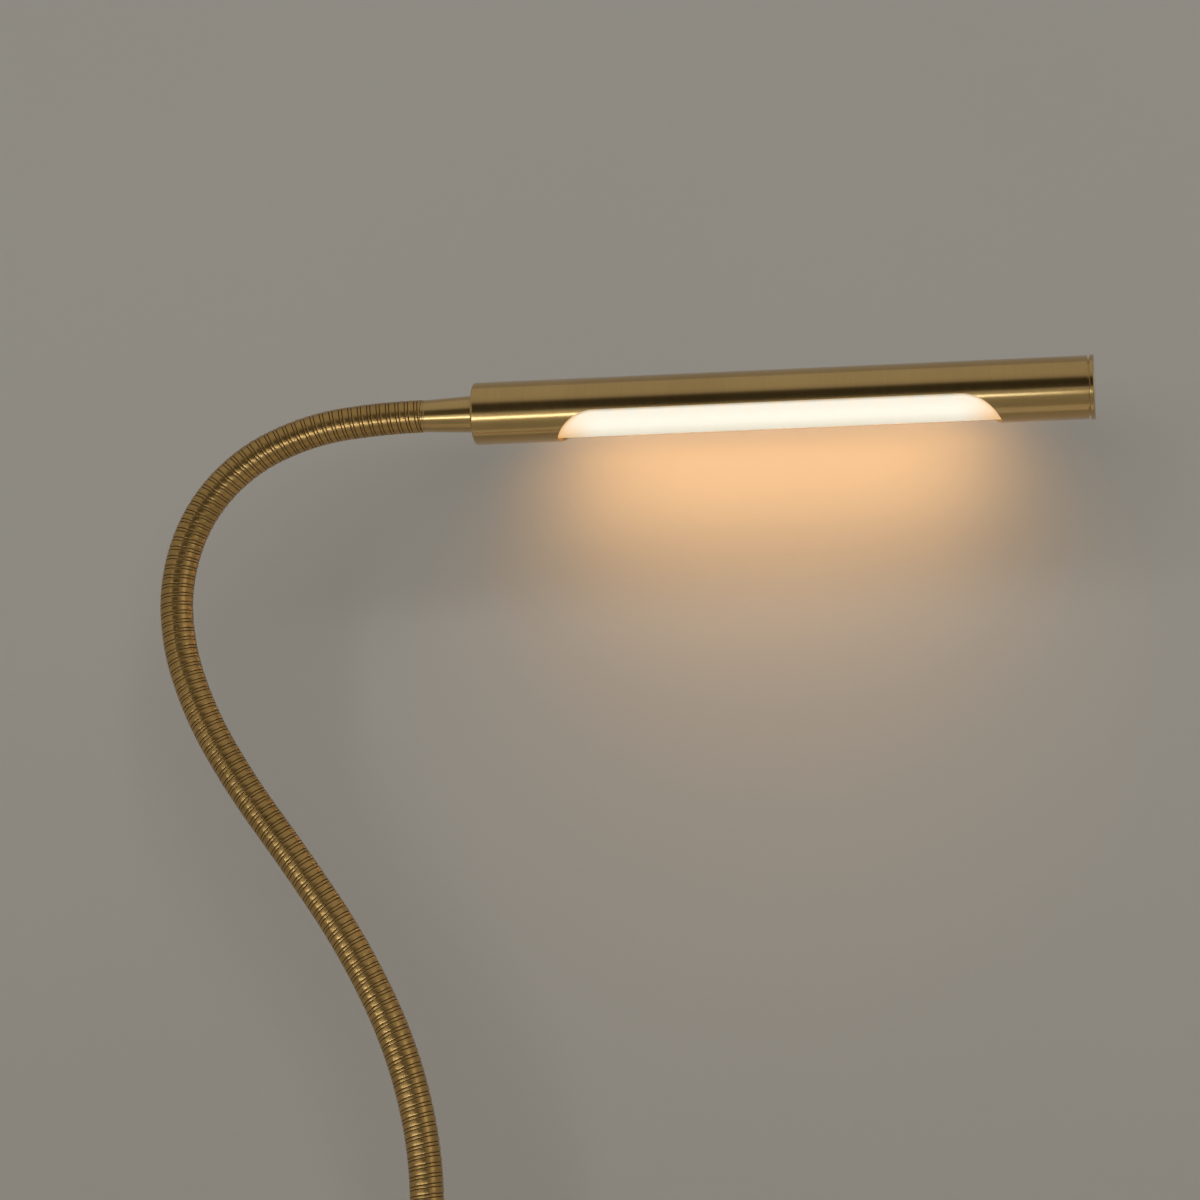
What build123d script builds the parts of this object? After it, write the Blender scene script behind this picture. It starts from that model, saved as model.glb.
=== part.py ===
from build123d import *
from math import ceil, cos, radians, sin, tan
import os

# A clamp lamp: a screw clamp carries a small foot with the switch, a flexible ribbed neck
# stands in the foot, and a slim tubular head turns on the neck's far end.
# Millimetres, +Z up. The origin is on the jaw pad's lower face, where the lamp lies on the
# table top, straight below the neck's foot. The table enters the jaw from +X.

# Fits, each per side
slip = 0.05          # turning and sliding fits
ease = 0.1           # plugs that slide into a tube
room = 0.3           # free room between bodies that swing past each other
past = 1.0           # reach of a cut past the faces that it opens

# Clamp frame
jaw_width = 36.0
plate = 6.0          # thickness of the arms and the spine
spine_back = 30.0    # from the neck's axis to the back of the spine
nose_x = 22.0        # middle of the upper arm's round nose, and of the switch
screw_x = 12.0       # clamp screw's axis, and middle of the lower arm's round nose
throat = 72.0        # between the two arms
outer_bend = 6.0     # radius outside the frame's two bends
inner_bend = 3.0     # radius inside them
soft_edge = 0.8      # rounding of the frame's long edges
jaw_pad_thick = 2.0
jaw_pad_inset = 2.0  # jaw pad's edge inside the arm's outline

# Clamp screw and its foot
rod_r = 4.0
journal_r = 3.0
jaw_gap = 30.0       # open height of the jaw as drawn
least_gap = 4.0      # smallest height that the jaw closes to
foot_pad_r = 13.0
foot_pad_thick = 2.0
disc_r = 14.0
disc_thick = 4.0
hub_r = 8.0
hub_height = 6.0
bush_r = 7.0
bush_flange_r = 9.5
bush_flange = 2.0
knob_r = 17.0
knob_grip = 10.0     # height of the fluted part
knob_neck_r = 9.0
knob_neck = 4.0
knob_floor = 3.0     # metal under the rod's end
knob_room = 1.0      # left under the bush when the jaw is closed
flute_count = 20
flute_r = 2.2
flute_depth = 1.0
pin_r = 1.5

# Foot housing and what it holds
housing_wall = 2.0
housing_top = 2.5
housing_round = 3.0
standoff_height = 4.0
standoff_r = 2.6
board_gap = 1.4      # board's edges from the housing's bosses
board_thick = 1.6
board_back = 10.0    # board's reach behind the neck's axis
board_front = 10.0   # board's reach past the switch
board_screw_inset = 3.0
screw_head_r = 1.9
screw_head = 1.2
screw_shank_r = 1.0
part_margin = 1.5    # chip's and coil's sides from the board's edge and its middle line
part_gap = 2.0       # between neighbours along the board
chip_height = 1.5
coil_height = 3.0
capacitor_r = 2.0
capacitor_high = 5.0
switch_size = 6.0
switch_height = 4.5
plunger_r = 1.7
plunger_proud = 1.5
plunger_sunk = 1.5
button_r = 4.8
button_gap = 0.2
button_proud = 1.5
button_travel = 1.2
button_flange_r = 7.0
button_flange = 2.8
button_stem_r = 2.6
button_stem = 5.0
boss_r = 3.6
boss_inset = 5.0     # boss axis inside the housing's outline
boss_height = 12.0
fixing_r = 1.5       # housing screws
fixing_head_r = 3.0
fixing_x = 11.0
gland_height = 10.0  # gland's axis above the arm
gland_bore_r = 2.6
gland_r = 4.0
gland_flange_r = 5.8
gland_flange = 2.5
gland_lip_r = 4.8
gland_lip = 1.5
gland_boss_r = 6.6
gland_boss = 1.5     # boss outside the housing wall
gland_boss_inside = 1.0

# Ferrules
ferrule_length = 21.0
ferrule_wide_r = 7.4
ferrule_slim_r = 6.4
ferrule_soft = 0.35
lead_way_r = 2.6     # way for the lead through ferrules and spigots
tenon_r = 4.6        # neck's plain ends inside the ferrules
tenon = 9.5
foot_spigot_r = 5.0
foot_nut = 5.0
foot_nut_flats = 16.0
spigot_proud = 1.0   # spigots past their nuts

# Flexible neck: each run is (length, turn to the right in degrees), from the foot up
neck_runs = (
    (27.5, 0.0),
    (30.5, -10.5),
    (50.5, -15.0),
    (48.0, -9.0),
    (40.0, -2.0),
    (34.5, 5.5),
    (34.0, 12.0),
    (26.5, 15.5),
    (31.5, 24.5),
    (27.0, 24.0),
    (23.5, 20.0),
    (31.0, 18.5),
    (31.0, 6.5),
)
neck_parts = 9
ribs_per_part = 13
crest_r = 6.6
groove_r = 6.25
bore_r = 2.5
ball_r = 5.0
bend_limit = 18.0    # each way at every knuckle, degrees
lead_r = 2.0
lead_gap = 1.5       # lead's ends from a knuckle's middle
bore_step = 6.0      # spacing of the sections that follow the bends inside the neck

# Head
tube_r = 12.5
tube_wall = 1.2
tube_rim = 1.0
seam = 0.3           # ferrule to head
end_wall = 2.5
window_length = 175.5
window_margin = 33.75
window_half_angle = 73.0
window_steps = 10
window_last_turn = 87.0  # of the quarter turn that each half of a window end takes
swivel_r = 4.0
washer_r = 8.0
washer_thick = 1.0
swivel_nut = 4.0
swivel_nut_flats = 13.0
cap_lip = 0.25
cap_thick = 1.8
cap_soft = 0.4
cap_gap = 0.6
cap_plug = 6.0
carrier_flat = 1.0   # carrier's flat above the head's axis
carrier_room = 4.0   # carrier's ends from the swivel and the cap
channel_roof = 1.2   # metal above the carrier's channel
channel_floor = 2.0  # metal below it
light_board_thick = 1.2
light_count = 17
chip_long = 3.5
chip_wide = 2.8
chip_high = 0.8
light_screw_wall = 1.0  # from the channel's side to the screws' axes
light_screw_edge = 1.5  # from the screws' axes to the light board's edge
light_screw_depth = 4.0
diffuser_wall = 1.3
diffuser_past = 10.0  # diffuser's reach past the window's ends
wire_r = 0.8
wire_y = 1.1
wire_drop = 0.3
wire_slot = 2.4       # half-width of the slot for the wires

# Levels from the table top upwards, and downwards from it
arm_under = jaw_pad_thick
arm_top = arm_under + plate
board_z = arm_top + standoff_height
board_top = board_z + board_thick
switch_top = board_top + switch_height
plunger_top = switch_top + plunger_proud
flange_z = plunger_top + button_stem
deck_under = flange_z + button_flange + slip
deck = deck_under + housing_top
foot_z = deck + ferrule_length
lower_top = arm_under - throat
lower_under = lower_top - plate
half_width = jaw_width / 2
board_half = half_width - boss_inset - boss_r - board_gap
capacitor_x = nose_x - switch_size / 2 - part_gap - capacitor_r

# Lengths along the neck, and heights of the knuckles' gaps
neck_length = sum(length for length, turn in neck_runs)
part_length = neck_length / neck_parts
knuckle_gap = (groove_r * sin(radians(bend_limit)) + room) / (1 + cos(radians(bend_limit)))
rib_form = ((0.0, groove_r), (0.1, crest_r), (0.7, crest_r), (0.8, groove_r))

# Places along the head, from the neck's end
tube_start = ferrule_length + seam
tube_length = window_length + 2 * window_margin
tube_end = tube_start + tube_length
tube_bore_r = tube_r - tube_wall
window_x = tube_start + tube_length / 2
washer_start = tube_start + end_wall + slip
swivel_nut_start = washer_start + washer_thick
swivel_end = swivel_nut_start + swivel_nut + spigot_proud
carrier_r = tube_bore_r - ease
channel_r = (carrier_r - channel_roof - channel_floor - carrier_flat) / 2
channel_height = carrier_r - channel_roof - channel_r
light_screw_y = channel_r + light_screw_wall
light_board_side = light_screw_y + light_screw_edge
diffuser_half = window_length / 2 + diffuser_past
light_board_half = diffuser_half - diffuser_wall - ease
light_pitch = window_length / light_count


def post(low, high, radius, x=0.0, y=0.0):
    """Upright round bar."""
    bottom = (Align.CENTER, Align.CENTER, Align.MIN)
    return Pos(x, y, low) * Cylinder(radius, high - low, align=bottom)


def bar(start, stop, radius, y=0.0, z=0.0):
    """Round bar along X."""
    bottom = (Align.CENTER, Align.CENTER, Align.MIN)
    return Pos(start, y, z) * Rot(0, 90, 0) * Cylinder(radius, stop - start, align=bottom)


def block(low, high):
    """Box between two corners."""
    size = [b - a for a, b in zip(low, high)]
    return Pos(*low) * Box(*size, align=(Align.MIN, Align.MIN, Align.MIN))


def hex_bar(low, high, flats):
    """Upright hexagonal bar, measured across its flats."""
    outline = RegularPolygon(flats / 2, 6, major_radius=False)
    return Pos(0, 0, low) * extrude(outline, high - low)


def stadium(back, front, half):
    """Outline with a flat back at x = back and a round nose about x = front."""
    straight = Pos((back + front) / 2, 0) * Rectangle(front - back, 2 * half)
    return straight + Pos(front, 0) * Circle(half)


def round_slab(half, low, high):
    """Upright slab with two round ends, about the neck's axis and about the switch."""
    straight = Pos(nose_x / 2, 0) * Rectangle(nose_x, 2 * half)
    outline = straight + Circle(half) + Pos(nose_x, 0) * Circle(half)
    return Pos(0, 0, low) * extrude(outline, high - low)


def fixing_places():
    """The two housing screws' axes."""
    side = half_width - boss_inset
    return ((fixing_x, side), (fixing_x, -side))


def board_screw_places():
    """The two board screws' x positions."""
    return (-board_back + board_screw_inset, nose_x + board_front - board_screw_inset)


def fixing_screw(x, y, grow):
    """Countersunk housing screw; grow turns it into its own hole."""
    drop = fixing_head_r - fixing_r
    head = Pos(x, y, arm_under) * Cone(
        fixing_head_r + grow, fixing_r + grow, drop, align=(Align.CENTER, Align.CENTER, Align.MIN)
    )
    return head + post(arm_under, arm_top + boss_height - room, fixing_r + grow, x, y)


def clamp_frame():
    """C-shaped frame: two arms with round noses on one spine."""
    upper = Pos(0, 0, arm_under) * extrude(stadium(-spine_back, nose_x, half_width), plate)
    lower = Pos(0, 0, lower_under) * extrude(stadium(-spine_back, screw_x, half_width), plate)
    spine = block((-spine_back, -half_width, lower_under), (plate - spine_back, half_width, arm_top))
    frame = upper + spine + lower
    across = frame.edges().filter_by(Axis.Y)
    backs = across.group_by(Axis.X)[0]
    frame = fillet(backs, outer_bend)
    inside = frame.edges().filter_by(Axis.Y).filter_by_position(
        Axis.X, plate - spine_back - ease, plate - spine_back + ease
    )
    frame = fillet(inside, inner_bend)
    sides = frame.faces().filter_by(Axis.Y).edges()
    frame = fillet(sides, soft_edge)
    for x, y in fixing_places():
        frame -= fixing_screw(x, y, slip)
    return frame - post(lower_under - past, lower_top + past, bush_r + slip, screw_x)


def jaw_pad():
    """Rubber sole under the upper arm."""
    outline = stadium(plate - spine_back + inner_bend, nose_x, half_width - jaw_pad_inset)
    return extrude(outline, jaw_pad_thick)


def screw_bush():
    """Flanged bush in the lower arm that the clamp screw runs in."""
    body = post(lower_under, lower_top, bush_r, screw_x)
    flange = post(lower_under - bush_flange, lower_under, bush_flange_r, screw_x)
    hole = post(lower_under - bush_flange - past, lower_top + past, rod_r + slip, screw_x)
    return body + flange - hole


foot_top = -jaw_gap
disc_top = foot_top - foot_pad_thick
hub_top = disc_top - disc_thick
hub_under = hub_top - hub_height
journal_top = hub_top
knob_top = lower_under - bush_flange - (jaw_gap - least_gap) - knob_room
knob_under = knob_top - knob_neck - knob_grip
pin_z = knob_top - knob_neck / 2


def pressure_disc():
    """Disc with a hub that the screw's journal turns in."""
    disc = post(hub_top, disc_top, disc_r, screw_x)
    disc = fillet(disc.edges().filter_by(GeomType.CIRCLE), soft_edge)
    hub = post(hub_under, hub_top, hub_r, screw_x)
    return disc + hub - post(hub_under - past, journal_top + slip, journal_r + slip, screw_x)


def clamp_screw():
    """Screw rod with a thinner journal on top, cross-drilled for the knob's pin."""
    rod = post(knob_under + knob_floor, hub_under - slip, rod_r, screw_x)
    journal = post(hub_under - slip, journal_top, journal_r, screw_x)
    hole = Pos(screw_x, 0, pin_z) * Rot(90, 0, 0) * Cylinder(pin_r + slip, 4 * rod_r)
    return rod + journal - hole


def screw_knob():
    """Fluted round knob with a short neck."""
    grip = post(knob_under, knob_top - knob_neck, knob_r, screw_x)
    grip = fillet(grip.edges().filter_by(GeomType.CIRCLE), soft_edge)
    flutes = [
        Pos(screw_x, 0, 0) * Rot(0, 0, 360 * n / flute_count)
        * post(knob_under - past, knob_top - knob_neck + past, flute_r, knob_r + flute_r - flute_depth)
        for n in range(flute_count)
    ]
    knob = grip - flutes + post(knob_top - knob_neck, knob_top, knob_neck_r, screw_x)
    knob -= post(knob_under + knob_floor, knob_top + past, rod_r + slip, screw_x)
    return knob - Pos(screw_x, 0, pin_z) * Rot(90, 0, 0) * Cylinder(pin_r + slip, 4 * knob_neck_r)


def knob_pin():
    """Cross pin through the knob's neck and the rod."""
    return Pos(screw_x, 0, pin_z) * Rot(90, 0, 0) * Cylinder(pin_r, 2 * knob_neck_r)


def base_housing():
    """Cup that stands on the upper arm and carries the neck, the switch and the gland."""
    shell = round_slab(half_width, arm_top, deck)
    shell = fillet(shell.edges().group_by(Axis.Z)[-1], housing_round)
    gland_z = arm_top + gland_height
    shell += bar(-half_width - gland_boss, 0, gland_boss_r, z=gland_z)
    inside = round_slab(half_width - housing_wall, arm_top, deck_under)
    inside -= bar(-half_width, housing_wall + gland_boss_inside - half_width, gland_boss_r, z=gland_z)
    for x, y in fixing_places():
        inside -= post(arm_top, arm_top + boss_height, boss_r, x, y)
    shell -= inside
    for x, y in fixing_places():
        shell -= fixing_screw(x, y, slip)
    shell -= bar(-half_width - gland_boss - past, 0, gland_r + slip, z=gland_z)
    shell -= post(deck_under - past, deck + past, foot_spigot_r + slip)
    return shell - post(deck_under - past, deck + past, button_r + button_gap, nose_x)


def housing_screws():
    """Two countersunk screws that hold the housing on the arm."""
    return [fixing_screw(x, y, 0.0) for x, y in fixing_places()]


def cable_gland():
    """Soft bush with a lip on each side of the wall, where the supply cord comes in."""
    z = arm_top + gland_height
    outside = -half_width - gland_boss
    inside = housing_wall + gland_boss_inside - half_width
    gland = bar(outside - gland_flange, outside, gland_flange_r, z=z)
    gland = fillet(gland.edges().filter_by(GeomType.CIRCLE).group_by(Axis.X)[0], soft_edge)
    gland += bar(outside, inside, gland_r, z=z)
    gland += bar(inside, inside + gland_lip, gland_lip_r, z=z)
    return gland - bar(outside - gland_flange - past, inside + gland_lip + past, gland_bore_r, z=z)


def board_standoffs():
    """Two tapped posts under the dimmer board."""
    return [
        post(arm_top, board_z, standoff_r, x) - post(arm_top, board_z + past, screw_shank_r + slip, x)
        for x in board_screw_places()
    ]


def dimmer_board():
    """Circuit board on the standoffs."""
    board = block(
        (-board_back, -board_half, board_z), (nose_x + board_front, board_half, board_top)
    )
    for x in board_screw_places():
        board -= post(board_z - past, board_top + past, screw_shank_r + slip, x)
    return board


def dimmer_screws():
    """Two small screws through the board."""
    return [
        post(board_top, board_top + screw_head, screw_head_r, x)
        + post(arm_top + slip, board_top, screw_shank_r, x)
        for x in board_screw_places()
    ]


def board_components():
    """Driver chip, coil and capacitor between the lead and the switch."""
    start = lead_r + part_gap
    stop = capacitor_x - capacitor_r - part_gap
    inner, outer = part_margin, board_half - part_margin
    chip = block((start, -outer, board_top), (stop, -inner, board_top + chip_height))
    choke = block((start, inner, board_top), (stop, outer, board_top + coil_height))
    can = post(board_top, board_top + capacitor_high, capacitor_r, capacitor_x, board_half / 2)
    return [chip, choke, can]


def switch_body():
    """Push switch on the board, open on top for its plunger."""
    half = switch_size / 2
    body = block((nose_x - half, -half, board_top), (nose_x + half, half, switch_top))
    well = switch_top - plunger_sunk - button_travel - room
    return body - post(well, switch_top + past, plunger_r + slip, nose_x)


def switch_plunger():
    """Plunger that the button pushes into the switch."""
    return post(switch_top - plunger_sunk, plunger_top, plunger_r, nose_x)


def switch_button():
    """Round button in the housing's top, kept in by its flange."""
    top = deck + button_proud
    cap = post(flange_z + button_flange, top, button_r, nose_x)
    cap = fillet(cap.edges().filter_by(GeomType.CIRCLE).group_by(Axis.Z)[-1], soft_edge)
    flange = post(flange_z, flange_z + button_flange, button_flange_r, nose_x)
    return cap + flange + post(plunger_top, flange_z, button_stem_r, nose_x)


def ferrule(spigot_r, spigot):
    """Upright cone with the neck's socket in its slim upper end and a spigot below."""
    cone = Cone(
        ferrule_wide_r, ferrule_slim_r, ferrule_length, align=(Align.CENTER, Align.CENTER, Align.MIN)
    )
    cone = chamfer(cone.edges().filter_by(GeomType.CIRCLE), ferrule_soft)
    cone += post(-spigot, 0, spigot_r)
    cone -= post(-spigot - past, ferrule_length, lead_way_r)
    return cone - post(ferrule_length - tenon - ease, ferrule_length + past, tenon_r + ease)


def lower_ferrule():
    """Ferrule on the foot, with its spigot through the housing's top."""
    return Pos(0, 0, deck) * ferrule(foot_spigot_r, housing_top + foot_nut + spigot_proud)


def neck_nut():
    """Nut under the housing's top that holds the lower ferrule."""
    nut = hex_bar(deck_under - foot_nut, deck_under, foot_nut_flats)
    return nut - post(deck_under - foot_nut - past, deck_under + past, foot_spigot_r + slip)


def neck_plane(along):
    """Plane square to the neck's centre line, this far along it from the foot ferrule."""
    x, z, heading, left = 0.0, foot_z, 0.0, along
    for number, (length, turn) in enumerate(neck_runs):
        last = number == len(neck_runs) - 1
        step = min(left, length) if not last else left
        share = radians(turn) * min(step, length) / length
        if turn == 0.0 or step < 0:
            x += step * sin(heading)
            z += step * cos(heading)
        else:
            radius = length / radians(turn)
            x += radius * (cos(heading) - cos(heading + share))
            z += radius * (sin(heading + share) - sin(heading))
            heading += share
            beyond = max(0.0, step - length)
            x += beyond * sin(heading)
            z += beyond * cos(heading)
        left -= step
        if left <= 0:
            break
    return Plane(origin=(x, 0, z), x_dir=(0, 1, 0), z_dir=(sin(heading), 0, cos(heading)))


def ring(along, radius):
    """Round section of the neck."""
    return neck_plane(along) * Circle(radius)


def neck_pipe(start, stop, radius):
    """Plain round bar that follows the neck's centre line."""
    steps = max(1, ceil((stop - start) / bore_step))
    return loft([ring(start + (stop - start) * n / steps, radius) for n in range(steps + 1)], ruled=True)


def part_span(number):
    """Where a length of the neck starts and stops, clear of the knuckles at its ends."""
    start = 0.0 if number == 1 else (number - 1) * part_length + knuckle_gap
    stop = neck_length if number == neck_parts else number * part_length - knuckle_gap
    return start, stop


def neck_segment(number):
    """One length of ribbed neck: ball on top, socket below, plain tenon at the neck's own ends."""
    start, stop = part_span(number)
    pitch = (stop - start) / ribs_per_part
    rings = [ring(start + (n + at) * pitch, r) for n in range(ribs_per_part) for at, r in rib_form]
    body = loft(rings + [ring(stop, groove_r)], ruled=True)
    low, high = start - past, stop + past
    if number == 1:
        low = start - tenon - past
        body += neck_pipe(start - tenon, start, tenon_r)
    else:
        body -= neck_plane((number - 1) * part_length) * Sphere(ball_r + room)
    if number == neck_parts:
        high = stop + tenon + past
        body += neck_pipe(stop, stop + tenon, tenon_r)
    else:
        pivot = neck_plane(number * part_length)
        high = number * part_length + past
        mouth_r = bore_r + ball_r * tan(radians(bend_limit))
        body += pivot * Sphere(ball_r)
        body -= pivot * Pos(0, 0, ball_r / 2) * Cone(bore_r - ease, mouth_r, ball_r)
    return body - neck_pipe(low, high, bore_r)


def neck_lead(number):
    """The stretch of two-core lead inside one length of neck."""
    start = (number - 1) * part_length + lead_gap
    stop = number * part_length - lead_gap
    if number == 1:
        start = board_top - foot_z
    if number == neck_parts:
        stop = neck_length + swivel_end
    return neck_pipe(start, stop, lead_r)


def on_head(piece):
    """Put a piece made along X in its place on the neck's end."""
    end = neck_plane(neck_length)
    ahead = end.z_dir
    up = Vector(-ahead.Z, 0, ahead.X)
    return Plane(origin=end.origin, x_dir=ahead, z_dir=up).location * piece


def upper_ferrule():
    """Ferrule on the neck's far end, with the spigot that the head turns on."""
    turned = Pos(ferrule_length, 0, 0) * Rot(0, -90, 0)
    return turned * ferrule(swivel_r, swivel_end - ferrule_length)


def swivel_washer():
    """Friction washer inside the head's end wall."""
    disc = bar(washer_start, washer_start + washer_thick, washer_r)
    return disc - bar(washer_start - past, swivel_end, swivel_r + slip)


def swivel_nut_piece():
    """Nut that holds the head on its spigot."""
    nut = Rot(0, 90, 0) * hex_bar(swivel_nut_start, swivel_nut_start + swivel_nut, swivel_nut_flats)
    return nut - bar(swivel_nut_start - past, swivel_end, swivel_r + slip)


def window_section(x, half_angle):
    """Wedge below the head's axis, as wide as the window is there."""
    depth = 2 * tube_r
    half = depth * tan(radians(half_angle))
    plane = Plane(origin=(x, 0, 0), x_dir=(0, 1, 0), z_dir=(1, 0, 0))
    return plane * Polygon((0, 0), (-half, -depth), (half, -depth), align=None)


def window_cutter():
    """Wedge-shaped cut whose ends are half circles on the unrolled tube."""
    end_r = radians(window_half_angle) * tube_r
    reach = window_length / 2 - end_r
    turns = [90 * n / window_steps for n in range(window_steps)] + [window_last_turn]
    right = [(reach + end_r * sin(radians(a)), window_half_angle * cos(radians(a))) for a in turns]
    left = [(-x, half) for x, half in reversed(right)]
    return loft([window_section(window_x + x, half) for x, half in left + right], ruled=True)


def head_tube():
    """Tube with a closed end at the swivel and a long window underneath."""
    tube = bar(tube_start, tube_end, tube_r)
    tube = fillet(tube.edges().filter_by(GeomType.CIRCLE).group_by(Axis.X)[0], tube_rim)
    tube -= bar(tube_start + end_wall, tube_end + past, tube_bore_r)
    tube -= bar(tube_start - past, tube_start + end_wall + past, swivel_r + slip)
    return tube - window_cutter()


def tip_cap():
    """Thin cap with a plug inside the tube's open end and a shadow gap to it."""
    face = tube_end + cap_gap
    flange = bar(face, face + cap_thick, tube_r + cap_lip)
    flange = fillet(flange.edges().filter_by(GeomType.CIRCLE), cap_soft)
    return flange + bar(tube_end - cap_plug, face, tube_bore_r - ease)


def light_screw_places():
    """Four screws near the light board's ends."""
    inset = light_board_half - 2 * screw_head_r
    return [(window_x + a * inset, b * light_screw_y) for a in (-1, 1) for b in (-1, 1)]


def led_carrier():
    """Half-round aluminium bar in the tube's upper half, flat below."""
    start = swivel_end + carrier_room
    stop = tube_end - cap_plug - carrier_room
    round_bar = bar(start, stop, carrier_r)
    below = block((start - past, -tube_r, -tube_r), (stop + past, tube_r, carrier_flat))
    carrier = round_bar - below - bar(start - past, stop + past, channel_r, z=channel_height)
    for x, y in light_screw_places():
        carrier -= post(carrier_flat - past, carrier_flat + light_screw_depth, screw_shank_r + slip, x, y)
    return carrier


def led_board():
    """Narrow light board under the carrier's flat."""
    under = carrier_flat - light_board_thick
    board = block(
        (window_x - light_board_half, -light_board_side, under),
        (window_x + light_board_half, light_board_side, carrier_flat),
    )
    for x, y in light_screw_places():
        board -= post(under - past, carrier_flat + past, screw_shank_r + slip, x, y)
    return board


def led_chips():
    """Row of light chips under the board, evenly spaced along the window."""
    under = carrier_flat - light_board_thick
    first = window_x - light_pitch * (light_count - 1) / 2
    half = (chip_long / 2, chip_wide / 2)
    return [
        block((x - half[0], -half[1], under - chip_high), (x + half[0], half[1], under))
        for x in (first + light_pitch * n for n in range(light_count))
    ]


def led_board_screws():
    """Four screws that hold the light board to the carrier."""
    under = carrier_flat - light_board_thick
    return [
        post(under - screw_head, under, screw_head_r, x, y)
        + post(under, carrier_flat + light_screw_depth - room, screw_shank_r, x, y)
        for x, y in light_screw_places()
    ]


def diffuser():
    """Half-round trough of milky plastic behind the window, closed at both ends."""
    outer_r = tube_bore_r - room
    start, stop = window_x - diffuser_half, window_x + diffuser_half
    trough = bar(start, stop, outer_r)
    trough -= bar(start + diffuser_wall, stop - diffuser_wall, outer_r - diffuser_wall)
    trough -= block((start - past, -tube_r, carrier_flat), (stop + past, tube_r, tube_r))
    slot_low = (start - past, -wire_slot, -wire_drop - wire_r - ease)
    return trough - block(slot_low, (start + diffuser_wall + past, wire_slot, tube_r))


def head_wires():
    """Two wires from the swivel's hollow spigot to the light board."""
    start = swivel_end + room
    stop = window_x - light_board_half
    return [bar(start, stop, wire_r, y=side * wire_y, z=-wire_drop) for side in (-1, 1)]


def foot_pad():
    """Rubber pad on the pressure disc."""
    return post(disc_top, foot_top, foot_pad_r, screw_x)


pieces = {
    "clamp_frame": clamp_frame(),
    "jaw_pad": jaw_pad(),
    "screw_bush": screw_bush(),
    "pressure_disc": pressure_disc(),
    "pressure_pad": foot_pad(),
    "clamp_screw": clamp_screw(),
    "screw_knob": screw_knob(),
    "knob_pin": knob_pin(),
    "base_housing": base_housing(),
    "housing_screws": housing_screws(),
    "cable_gland": cable_gland(),
    "board_standoffs": board_standoffs(),
    "dimmer_board": dimmer_board(),
    "dimmer_screws": dimmer_screws(),
    "board_components": board_components(),
    "switch_body": switch_body(),
    "switch_plunger": switch_plunger(),
    "switch_button": switch_button(),
    "lower_ferrule": lower_ferrule(),
    "neck_nut": neck_nut(),
}
for number in range(1, neck_parts + 1):
    pieces[f"neck_segment_{number}"] = neck_segment(number)
    pieces[f"neck_lead_{number}"] = neck_lead(number)
head_pieces = {
    "upper_ferrule": upper_ferrule(),
    "swivel_washer": swivel_washer(),
    "swivel_nut": swivel_nut_piece(),
    "head_tube": head_tube(),
    "tip_cap": tip_cap(),
    "led_carrier": led_carrier(),
    "led_board": led_board(),
    "led_chips": led_chips(),
    "led_board_screws": led_board_screws(),
    "diffuser": diffuser(),
    "head_wires": head_wires(),
}
for name, piece in head_pieces.items():
    group = piece if isinstance(piece, list) else [piece]
    pieces[name] = [on_head(each) for each in group]

os.makedirs("parts", exist_ok=True)
for name, piece in pieces.items():
    group = piece if isinstance(piece, list) else [piece]
    solids = [solid for each in group for solid in each.solids()]
    shape = solids[0] if len(solids) == 1 else Compound(children=solids)
    export_step(shape, f"parts/{name}.step")
print(f"{len(pieces)} pieces, neck {neck_length:.1f} mm long, knuckle gap {knuckle_gap:.2f} mm")
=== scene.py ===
# %% [markdown]
# # A clamp lamp in satin brass
# The lamp is a slim tubular head on a ribbed flexible neck, which stands in a screw clamp.
# Its parts come in at their real size and place, as a fixed frame. This script gives every
# surface its finish, and models what a plain solid can't show: the wound neck, the rolled
# window, the screw's thread and the soft pads.

# %% Load the frame
from math import cos, pi, radians, sin

import bmesh
import bpy
from mathutils import Matrix, Vector


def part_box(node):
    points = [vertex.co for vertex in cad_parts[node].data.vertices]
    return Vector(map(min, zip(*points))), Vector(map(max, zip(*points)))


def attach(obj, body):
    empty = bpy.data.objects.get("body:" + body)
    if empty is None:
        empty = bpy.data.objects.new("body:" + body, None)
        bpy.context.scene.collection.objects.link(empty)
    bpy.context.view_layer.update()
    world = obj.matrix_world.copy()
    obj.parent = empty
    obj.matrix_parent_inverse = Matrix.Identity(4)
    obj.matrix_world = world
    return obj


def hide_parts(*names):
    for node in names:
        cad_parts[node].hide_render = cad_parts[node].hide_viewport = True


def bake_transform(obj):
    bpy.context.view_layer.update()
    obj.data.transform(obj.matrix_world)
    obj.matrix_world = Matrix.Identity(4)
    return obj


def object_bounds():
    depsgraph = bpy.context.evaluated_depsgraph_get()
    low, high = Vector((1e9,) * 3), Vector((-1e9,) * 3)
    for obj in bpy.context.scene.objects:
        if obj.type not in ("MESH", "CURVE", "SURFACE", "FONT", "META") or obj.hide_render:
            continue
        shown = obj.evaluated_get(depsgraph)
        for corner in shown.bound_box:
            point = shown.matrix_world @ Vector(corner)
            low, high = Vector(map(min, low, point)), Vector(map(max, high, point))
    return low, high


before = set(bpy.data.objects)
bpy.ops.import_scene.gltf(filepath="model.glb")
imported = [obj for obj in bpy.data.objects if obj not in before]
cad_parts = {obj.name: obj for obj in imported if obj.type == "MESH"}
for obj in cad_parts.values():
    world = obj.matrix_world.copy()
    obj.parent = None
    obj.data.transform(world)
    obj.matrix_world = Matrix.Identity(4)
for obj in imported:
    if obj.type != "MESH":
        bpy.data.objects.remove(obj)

mm = 0.001
cad_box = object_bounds()

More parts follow.
